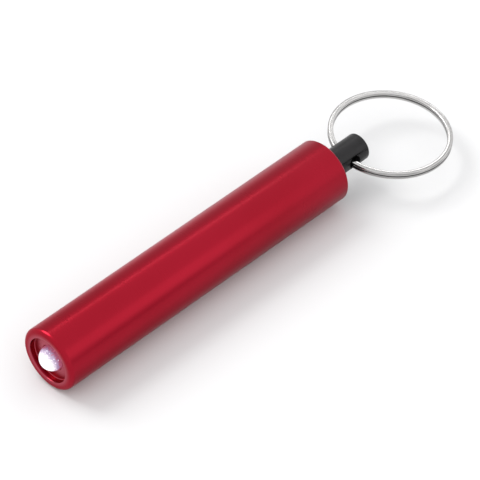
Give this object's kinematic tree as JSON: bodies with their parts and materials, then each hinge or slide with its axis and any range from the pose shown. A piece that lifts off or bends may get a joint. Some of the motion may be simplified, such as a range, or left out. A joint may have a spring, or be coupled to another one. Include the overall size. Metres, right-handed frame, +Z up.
{
  "type": "keychain flashlight",
  "caption": "Slim red anodised aluminium key light with a recessed clear lamp in front, a black push post in the tail and a bright split ring through the post.",
  "frame": {"origin": "middle of the bounding box in plan, on the surface the barrel lies on", "axes": "+X from the lamp to the key ring along the barrel's axis, +Z up across the barrel"},
  "size_m": [0.102, 0.0242, 0.013],
  "materials": {
    "red_anodised": "satin red anodised, fine turned grain",
    "clear_epoxy": "clear moulded, gloss",
    "tinned_steel": "tinned, satin",
    "phosphor": "matt phosphor",
    "white_nylon": "moulded, semi-matt",
    "board_green": "solder mask, satin",
    "ferrite": "matt, dark grey",
    "copper": "enamelled copper wire, satin",
    "chip_black": "moulded, matt",
    "ceramic": "fired, satin",
    "brass": "stamped, satin",
    "spring_steel": "bright drawn wire",
    "can_steel": "nickel plated, satin",
    "cell_mass": "dark, matt",
    "label_film": "plain film, gloss",
    "black_plastic": "moulded black, semi-matt",
    "black_metal": "black anodised, satin",
    "black_rubber": "greased rubber, matt",
    "nickel": "bright nickel plate"
  },
  "bodies": {
    "light": {"barrel": "red_anodised", "led_lens": "clear_epoxy", "led_cathode": "tinned_steel", "led_anode": "tinned_steel", "led_chip": "phosphor", "led_holder": "white_nylon", "driver_board": "board_green", "earth_ring": "brass", "coil_core": "ferrite", "coil_winding": "copper", "boost_chip": "chip_black", "output_capacitor": "ceramic", "rectifier_diode": "chip_black", "positive_spring": "spring_steel", "cell_can": "can_steel", "cell_core": "cell_mass", "cell_seal": "white_nylon", "cell_cap": "can_steel", "cell_label": "label_film"},
    "tail": {"tail_plug": "black_metal", "tail_o_ring": "black_rubber", "battery_spring": "spring_steel", "contact_disc": "brass", "switch_liner": "white_nylon", "spring_seat": "brass", "return_spring": "spring_steel"},
    "button": {"push_post": "black_plastic", "contact_pin": "brass"},
    "ring": {"split_ring": "nickel"}
  },
  "joints": [
    {"name": "tail_release", "type": "slide", "parent": "light", "child": "tail", "axis": [1, 0, 0], "range_m": [0, 0.018]},
    {"name": "button_press", "type": "slide", "parent": "tail", "child": "button", "axis": [-1, 0, 0], "range_m": [0, 0.0012], "stiffness_N_per_m": 300, "springref_m": -0.003, "deforming": ["return_spring"]},
    {"name": "ring_swing", "type": "hinge", "parent": "button", "child": "ring", "pos_m": [0.02771, 0.0014, 0.0065], "axis": [0, 1, 0], "range_deg": [-153.5, 146.5]}
  ]
}
